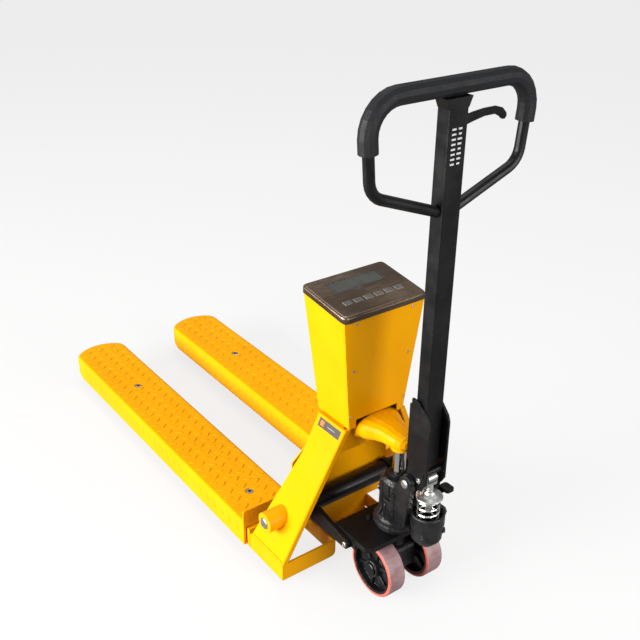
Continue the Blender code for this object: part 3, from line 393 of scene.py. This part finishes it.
def floor_material():
    made, _, shader = new_material("floor", (0.13, 0.13, 0.13), 0.9, specular=0.0)
    shader.inputs["Emission Color"].default_value = (1.0, 1.0, 1.0, 1.0)
    shader.inputs["Emission Strength"].default_value = FLOOR_GLOW
    return made


YELLOW = yellow_paint()
BLACK = black_paint()
CAST = cast_black()
ZINC = plated("zinc", (0.66, 0.66, 0.64), 0.28, 0.46)
STEEL = plated("plain_steel", (0.50, 0.50, 0.51), 0.30, 0.50)
CHROME = chrome()
STAINLESS = stainless()
TYRE = tyre()
ROLLER = moulded("roller_urethane", (0.40, 0.07, 0.045), (0.52, 0.12, 0.08), 0.5, 300.0, 0.0006)
GRIP = grip_rubber()
DISPLAY = display_glass()
KEY = moulded("key_film", (0.075, 0.068, 0.064), (0.12, 0.11, 0.105), 0.42, 500.0, 0.0002)
CASE = moulded("battery_case", (0.03, 0.03, 0.033), (0.05, 0.05, 0.054), 0.55, 400.0, 0.0005)
MARK_PALE = moulded("mark_pale", (0.55, 0.56, 0.55), (0.68, 0.69, 0.67), 0.5, 300.0, 0.0002)
MARK_GREY = moulded("mark_grey", (0.24, 0.22, 0.20), (0.33, 0.30, 0.28), 0.4, 300.0, 0.0002)
MARK_DARK = moulded("mark_dark", (0.030, 0.024, 0.021), (0.048, 0.039, 0.034), 0.5, 300.0, 0.0002)
MARK_ORANGE = moulded("mark_orange", (0.72, 0.12, 0.01), (0.85, 0.19, 0.02), 0.45, 300.0, 0.0002)
# Near-black matt material for the painted shade in the deck screws' sockets.
SOCKET_SHADE = moulded("painted_socket_shade", (0.004, 0.004, 0.004), (0.008, 0.008, 0.008), 0.8, 300.0, 0.0002,
               specular=0.1)

NODE_MATERIALS = (
    (YELLOW, ("deck_", "fork_frame_", "side_plate_", "cross_box", "cross_panel", "crosshead",
              "indicator_housing", "operator_panel")),
    (BLACK, ("load_bracket_", "push_rod_", "rocker_arm_", "torsion_tube", "base_plate", "thrust_ring",
             "gland_ring", "axle", "release_pedal", "tiller_bracket", "tiller_column", "handle_loop",
             "release_lever")),
    (CAST, ("pump_casting", "wheel_hub_")),
    (STEEL, ("load_cell_",)),
    (ZINC, ("deck_bolt_", "pivot_pin_", "plunger_", "spring_cap", "tiller_pin")),
    (CHROME, ("ram",)),
    (STAINLESS, ("bezel",)),
    (TYRE, ("wheel_tyre_",)),
    (ROLLER, ("load_roller_",)),
    (GRIP, ("handle_grip",)),
    (DISPLAY, ("display",)),
    (KEY, ("key_",)),
    (CASE, ("battery",)),
)


def dress_frame():
    for name, node in NODES.items():
        for material, starts in NODE_MATERIALS:
            if any(name == start or name.startswith(start) and start.endswith("_") for start in starts):
                node.data.materials.clear()
                node.data.materials.append(material)
    for name in [f"deck_bolt_{place}_{side}" for place in ("tip", "heel") for side, _ in SIDES]:
        node = NODES[name]
        node.data.materials.clear()
        node.data.materials.append(ZINC)


# ---- decks ----

RIB_LENGTH = 0.025
RIB_WIDTH = 0.0046
RIB_HEIGHT = 0.0012
RIB_PITCH_X = 0.041
RIB_PITCH_Y = 0.045
RIB_TURN = math.radians(53)
RIB_ROWS = 4
RIB_FIRST_X = 0.008
RIB_END_MARGIN = 0.020
RIB_HALF_BAND = 0.078
TIP_ARC_X = 0.120
TIP_ARC_RADIUS = 0.103
BOLT_CLEAR = 0.024
DECK_HALF_WIDTH = 0.090
SKIRT_FIRST_X = 0.110
SKIRT_END_MARGIN = 0.022
SKIRT_Z = 0.076


def add_rib(shape, centre, along, across, out):
    """One raised lozenge: a pointed oval foot with a narrow crest."""
    foot = []
    crest = []
    for place, width in ((-1, 0), (-0.62, 0.72), (0, 1.0), (0.62, 0.72)):
        foot.append((place, -width))
    for place, width in ((1, 0), (0.62, 0.72), (0, 1.0), (-0.62, 0.72)):
        foot.append((place, width))
    for place, width in foot:
        crest.append((place * 0.80, width * 0.42))
    rings = []
    for points, height in ((foot, -0.0004), (foot, 0.0001), (crest, RIB_HEIGHT)):
        rings.append([centre + along * (p * RIB_LENGTH / 2) + across * (w * RIB_WIDTH / 2) + out * height
                      for p, w in points])
    add_rings(shape, rings)


def checker_ribs(side):
    """Lozenges on the top, two ways round like a floor plate's, and one slanted row on each skirt."""
    low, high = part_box(f"deck_{side}")
    shape = bmesh.new()
    centre_y = (low.y + high.y) / 2
    bolts = [middle(f"deck_bolt_{place}_{side}") for place in ("tip", "heel")]
    tip_centre = Vector((low.x + TIP_ARC_X, centre_y, 0))
    for row in range(-RIB_ROWS, RIB_ROWS + 1):
        for column in range(0, 60):
            if (row + column) % 2:
                continue
            x = low.x + RIB_FIRST_X + column * RIB_PITCH_X / 2
            y = centre_y + row * RIB_PITCH_Y / 2
            if x > high.x - RIB_END_MARGIN or abs(y - centre_y) > RIB_HALF_BAND:
                continue
            if x < tip_centre.x and (Vector((x, y, 0)) - tip_centre).length > TIP_ARC_RADIUS:
                continue
            if any((Vector((x, y)) - bolt.to_2d()).length < BOLT_CLEAR for bolt in bolts):
                continue
            angle = RIB_TURN if row % 2 else -RIB_TURN
            along = Vector((math.cos(angle), math.sin(angle), 0))
            across = Vector((-math.sin(angle), math.cos(angle), 0))
            add_rib(shape, Vector((x, y, DECK_TOP)), along, across, Vector((0, 0, 1)))
    for face in (-1, 1):
        y = centre_y + face * DECK_HALF_WIDTH
        for column in range(0, 30):
            x = low.x + SKIRT_FIRST_X + column * RIB_PITCH_X
            if x > high.x - SKIRT_END_MARGIN:
                continue
            along = Vector((math.cos(RIB_TURN), 0, -math.sin(RIB_TURN)))
            across = Vector((math.sin(RIB_TURN), 0, math.cos(RIB_TURN)))
            add_rib(shape, Vector((x, y, SKIRT_Z)), along, across, Vector((0, face, 0)))
    finish_mesh(f"checker_ribs_{side}", shape, YELLOW, "lift_frame", 60)


def bolt_sockets():
    """Flat near-black hexagons on the decks' zinc screws: painted shade standing in for the hexagon
    sockets.
    """
    shape = bmesh.new()
    for side, _ in SIDES:
        for place in ("tip", "heel"):
            low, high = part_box(f"deck_bolt_{place}_{side}")
            centre = Vector(((low.x + high.x) / 2, (low.y + high.y) / 2, high.z))
            add_rings(shape, [ring_points(centre, Matrix.Identity(3), 0.0052, level, 6, 0.4)
                              for level in (-0.0004, 0.00015)])
    finish_mesh("bolt_sockets", shape, SOCKET_SHADE, "lift_frame")


# ---- small fittings ----

PANEL_SCREW_LEVELS = (0.497, 0.632, 0.765)
PANEL_SCREW_Y = 0.088
EAR_INSET = 0.014
RIB_ANGLES = (195, 235, 268, 300, 95, 130, 165)
RIB_LOW_Z = 0.222
RIB_RISE = 0.105
RIB_STEPS = 6
PUMP_RIB_RADIUS = 0.0042
SPOKES = 6
SPOKE_MIDDLE = 0.045
SPOKE_HALF = (0.021, 0.0040, 0.0042)
WEB_HALF = 0.0070
HUB_HALF = 0.0235
LOOP_BOLT_Z = 1.086
CAM_PIN = (0.096, 0.402)
MARK_ROWS = 8
MARK_LOW_Z = 1.196
MARK_PITCH = 0.0105
LABEL_Z = 0.4385
KEY_OUTLINE_HALF = (0.0080, 0.0115, 0.0004)
WINDOW_LIFT = 0.0013
WELD_Z = 0.0835
WELD_POINTS = 34
WELD_START_X = -0.288
WELD_LENGTH = 0.135
WELD_RADIUS = 0.0026
PEDAL_RIB_PLACES = (0.085, 0.093, 0.101)


def at(x, y, z):
    """A point measured from the steering axle."""
    return Vector((x + X0, y, z))


def fittings(name, material, body, places, smooth=35):
    """One piece of many bolts. A place is a node, a start, a direction, a radius, a height, a kind."""
    shape = bmesh.new()
    for node, start, direction, radius, height, kind in places:
        place, normal = land(node, start, direction)
        if place is None:
            raise ValueError(f"{name}: nothing of {node} lies that way")
        add_bolt(shape, place - normal * SINK, normal, radius, height, kind == "hex", kind == "socket")
    finish_mesh(name, shape, material, body, smooth)


def panel_screws():
    places = []
    for z in PANEL_SCREW_LEVELS:
        for y in (-PANEL_SCREW_Y, PANEL_SCREW_Y):
            places.append(("operator_panel", at(0.1, y, z), (-1, 0, 0), 0.0036, 0.0016, "socket"))
    fittings("panel_screws", ZINC, "lift_frame", places)
    places = [("crosshead", at(0.1, 0.014, 0.434), (-1, 0, 0), 0.0046, 0.0022, "socket")]
    fittings("ram_set_screw", BLACK, "lift_frame", places)


def chassis_bolts():
    places = [("base_plate", at(-0.069, y, 0.4), (0, 0, -1), 0.0075, 0.0060, "hex")
              for y in (-0.045, 0.045)]
    fittings("base_bolts", BLACK, "chassis", places)
    places = []
    for side, sign in SIDES:
        low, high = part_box(f"rocker_arm_{side}")
        start = Vector((high.x - EAR_INSET, sign * 0.4, low.z + EAR_INSET))
        places.append((f"rocker_arm_{side}", start, (0, -sign, 0), 0.0080, 0.0030, "socket"))
    fittings("rocker_pin_heads", ZINC, "rocker", places)


def pump_details():
    shape = bmesh.new()
    for angle in RIB_ANGLES:
        c, s = math.cos(math.radians(angle)), math.sin(math.radians(angle))
        points = []
        for i in range(RIB_STEPS + 1):
            z = RIB_LOW_Z + RIB_RISE * i / RIB_STEPS
            place, _ = land("pump_casting", at(0.2 * c, 0.2 * s, z), (-c, -s, 0))
            points.append(place)
        add_tube(shape, points, PUMP_RIB_RADIUS, 8, lambda i: 0.75 + 0.3 * math.sin(i * 1.3 + 0.5))
    finish_mesh("pump_ribs", shape, CAST, "pump", 60)
    places = [("pump_casting", at(0.20, -0.12, 0.238), (-0.10, 0.12, 0), 0.0070, 0.0060, "hex"),
              ("pump_casting", at(0.20, 0.12, 0.238), (-0.10, -0.12, 0), 0.0070, 0.0060, "hex"),
              ("pump_casting", at(0.09, 0.20, 0.262), (0, -1, 0), 0.0110, 0.0070, "hex"),
              ("pump_casting", at(-0.15, -0.08, 0.290), (0.15, 0.08, 0), 0.0075, 0.0060, "hex")]
    fittings("pump_plugs", CAST, "pump", places)


def wheel_spokes(side, sign):
    """Six cast spokes, a raised centre and a cap, on both faces of a wheel."""
    centre = middle(f"wheel_hub_{side}")
    shape = bmesh.new()
    for face in (-1, 1):
        web = centre.y + face * WEB_HALF
        for i in range(SPOKES):
            angle = math.radians(360 / SPOKES * i + 20)
            turn = Matrix.Rotation(-angle, 3, "Y")
            place = Vector((centre.x, web + face * 0.0030, centre.z))
            place = place + turn @ Vector((SPOKE_MIDDLE, 0, 0))
            add_box(shape, place, SPOKE_HALF, turn, 0.0012)
    add_turned(shape, Vector((centre.x, centre.y + sign * HUB_HALF, centre.z)), (0, sign, 0),
               [(0.0235, 0), (0.0235, 0.0020), (0.0215, 0.0030), (0.0185, 0.0030), (0.0182, 0.0012)], 28)
    finish_mesh(f"wheel_spokes_{side}", shape, CAST, f"wheel_{side}", 40)


def tiller_details():
    places = [("tiller_column", at(0.079, -0.3, LOOP_BOLT_Z), (0, 1, 0), 0.0070, 0.0050, "hex"),
              ("tiller_column", at(0.079, 0.3, LOOP_BOLT_Z), (0, -1, 0), 0.0070, 0.0050, "hex")]
    fittings("loop_bolts", BLACK, "tiller", places)
    places = [("tiller_bracket", at(CAM_PIN[0], -0.3, CAM_PIN[1]), (0, 1, 0), 0.0075, 0.0045, "socket"),
              ("tiller_bracket", at(CAM_PIN[0], 0.3, CAM_PIN[1]), (0, -1, 0), 0.0075, 0.0045, "socket")]
    fittings("cam_pin_heads", ZINC, "tiller", places)
    shape = bmesh.new()
    for row in range(MARK_ROWS):
        for y, half in ((-0.0105, 0.0058), (0.0065, 0.0040 + 0.0022 * (row % 3) / 2)):
            z = MARK_LOW_Z + row * MARK_PITCH
            place, _ = land("tiller_column", at(0.3, y, z), (-1, 0, 0))
            add_box(shape, place, (0.0003, half, 0.0021), frame_along((0, 0, 1), (0, 1, 0)))
    finish_mesh("column_marks", shape, MARK_PALE, "tiller", 60)


def plate_label():
    """A plain dark tab with an orange spot and a pale bar, in place of the printed notice."""
    for name, material, slot, x, half, lift in (
            ("label_ground", MARK_DARK, "black_paint", -0.168, (0.0440, 0.0120, 0.0003), 0.0),
            ("label_spot", MARK_ORANGE, "yellow_paint", -0.197, (0.0070, 0.0070, 0.0003), 0.0004),
            ("label_bar", MARK_GREY, "key_film", -0.160, (0.0160, 0.0011, 0.0003), 0.0004)):
        place, normal = land("side_plate_left", at(x, -0.4, LABEL_Z), (0, 1, 0))
        shape = bmesh.new()
        turn = Matrix((Vector((1, 0, 0)), normal.cross(Vector((1, 0, 0))), normal)).transposed()
        add_box(shape, place + normal * lift, half, turn)
        finish_mesh(name, shape, material, "lift_frame")


def head_details():
    """Dark outlines round the keys and a frame round the display."""
    shape = bmesh.new()
    for number in range(1, 7):
        low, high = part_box(f"key_{number}")
        start = Vector(((low.x + high.x) / 2, (low.y + high.y) / 2, high.z + 0.1))
        place, normal = land(f"key_{number}", start, (0, 0, -1))
        across = Vector((0, 1, 0))
        turn = Matrix((across.cross(normal), across, normal)).transposed()
        add_box(shape, place - normal * 0.0006, KEY_OUTLINE_HALF, turn, 0.0002)
    finish_mesh("key_outlines", shape, MARK_GREY, "lift_frame", 40)
    shape = bmesh.new()
    low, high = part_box("display")
    start = Vector(((low.x + high.x) / 2, 0, high.z + 0.1))
    place, normal = land("display", start, (0, 0, -1))
    across = Vector((0, 1, 0))
    turn = Matrix((across.cross(normal), across, normal)).transposed()
    for dx, dy, half in ((0.0245, 0, (0.0014, 0.0800, 0.0004)), (-0.0245, 0, (0.0014, 0.0800, 0.0004)),
                         (0, 0.0790, (0.0240, 0.0014, 0.0004)), (0, -0.0790, (0.0240, 0.0014, 0.0004))):
        add_box(shape, place + turn @ Vector((dx, dy, WINDOW_LIFT)), half, turn, 0.0002)
    finish_mesh("display_frame", shape, MARK_DARK, "lift_frame", 40)


def welds():
    """Beads where the side plates stand on the heels."""
    shape = bmesh.new()
    for side, sign in SIDES:
        points = []
        for i in range(WELD_POINTS):
            x = WELD_START_X + WELD_LENGTH * i / (WELD_POINTS - 1)
            place, _ = land(f"side_plate_{side}", at(x, sign * 0.5, WELD_Z), (0, -sign, 0))
            if place is not None:
                points.append(place)
        add_tube(shape, points, WELD_RADIUS, 8, weld_waves)
    finish_mesh("foot_welds", shape, YELLOW, "lift_frame", 60)


def pedal_ribs():
    shape = bmesh.new()
    for x in PEDAL_RIB_PLACES:
        place, _ = land("release_pedal", at(x, 0.066, 0.5), (0, 0, -1))
        add_box(shape, place, (0.0015, 0.0100, 0.0010), None, 0.0004)
    finish_mesh("pedal_ribs", shape, BLACK, "pedal", 50)


dress_frame()
panel_screws()
chassis_bolts()
pump_details()
for side_name, side_sign in SIDES:
    wheel_spokes(side_name, side_sign)
tiller_details()
plate_label()
head_details()
welds()
pedal_ribs()
for side_name, side_sign in SIDES:
    checker_ribs(side_name)
bolt_sockets()


# ---- floor, light and camera ----

FLOOR_HALF = 14.0
DOME_RADIUS = 30.0
FLOOR_GLOW = 0.79
DOME_GLOW = 0.94
SKY_LIGHT = 0.34


def floor():
    shape = bmesh.new()
    bmesh.ops.create_grid(shape, x_segments=2, y_segments=2, size=FLOOR_HALF)
    mesh = bpy.data.meshes.new("floor")
    shape.to_mesh(mesh)
    shape.free()
    mesh.materials.append(floor_material())
    made = bpy.data.objects.new("floor", mesh)
    bpy.context.scene.collection.objects.link(made)
    made.visible_diffuse = False
    made.visible_glossy = False


def backdrop():
    """A pale dome far round the scene that only the camera sees."""
    shape = bmesh.new()
    bmesh.ops.create_uvsphere(shape, u_segments=32, v_segments=16, radius=DOME_RADIUS)
    mesh = bpy.data.meshes.new("backdrop")
    shape.to_mesh(mesh)
    shape.free()
    made, _, shader = new_material("backdrop", (0.0, 0.0, 0.0), 1.0, specular=0.0)
    shader.inputs["Emission Color"].default_value = (1.0, 1.0, 1.0, 1.0)
    shader.inputs["Emission Strength"].default_value = DOME_GLOW
    mesh.materials.append(made)
    dome = bpy.data.objects.new("backdrop", mesh)
    bpy.context.scene.collection.objects.link(dome)
    dome.visible_diffuse = False
    dome.visible_glossy = False
    dome.visible_transmission = False
    dome.visible_shadow = False


def area_light(name, place, target, size, power, colour=(1, 1, 1)):
    data = bpy.data.lights.new(name, "AREA")
    data.shape = "RECTANGLE"
    data.size, data.size_y = size
    data.energy = power
    data.color = colour
    made = bpy.data.objects.new(name, data)
    made.location = place
    made.rotation_euler = (Vector(target) - Vector(place)).to_track_quat("-Z", "Y").to_euler()
    bpy.context.scene.collection.objects.link(made)


def light():
    world = bpy.data.worlds.new("studio")
    world.use_nodes = True
    background = world.node_tree.nodes["Background"]
    background.inputs["Color"].default_value = (1.0, 1.0, 1.0, 1.0)
    background.inputs["Strength"].default_value = SKY_LIGHT
    bpy.context.scene.world = world
    area_light("key", (-0.3, -5.0, 1.5), (0.0, 0.0, 0.35), (4.0, 2.0), 700.0, (1.0, 0.99, 0.96))
    area_light("front", (4.2, 1.2, 1.9), (0.2, 0.0, 0.4), (2.4, 1.8), 135.0)
    area_light("top", (-0.4, 0.4, 4.5), (-0.2, 0.0, 0.2), (3.4, 2.6), 62.0)


CAMERA_PLACE = (2.0766, -1.3167, 1.7838)
CAMERA_AZIMUTH = 53.2786
CAMERA_DOWN = 27.4703
CAMERA_ROLL = 0.7699
CAMERA_LENS = 51.94


def camera():
    """The main view: azimuth from +Y towards -X, then down, then a small roll."""
    azimuth = math.radians(CAMERA_AZIMUTH)
    down = math.radians(CAMERA_DOWN)
    roll = math.radians(CAMERA_ROLL)
    forward = Vector((-math.sin(azimuth) * math.cos(down), math.cos(azimuth) * math.cos(down),
                      -math.sin(down)))
    level = Vector((math.cos(azimuth), math.sin(azimuth), 0.0))
    rise = level.cross(forward)
    right = level * math.cos(roll) + rise * math.sin(roll)
    up = rise * math.cos(roll) - level * math.sin(roll)
    data = bpy.data.cameras.new("camera")
    data.sensor_width = 36.0
    data.lens = CAMERA_LENS
    made = bpy.data.objects.new("camera", data)
    axes = Matrix((right, up, -forward)).transposed().to_4x4()
    made.matrix_world = Matrix.Translation(CAMERA_PLACE) @ axes
    bpy.context.scene.collection.objects.link(made)
    bpy.context.scene.camera = made


floor()
backdrop()
light()
camera()
bpy.context.scene.view_settings.view_transform = "Standard"
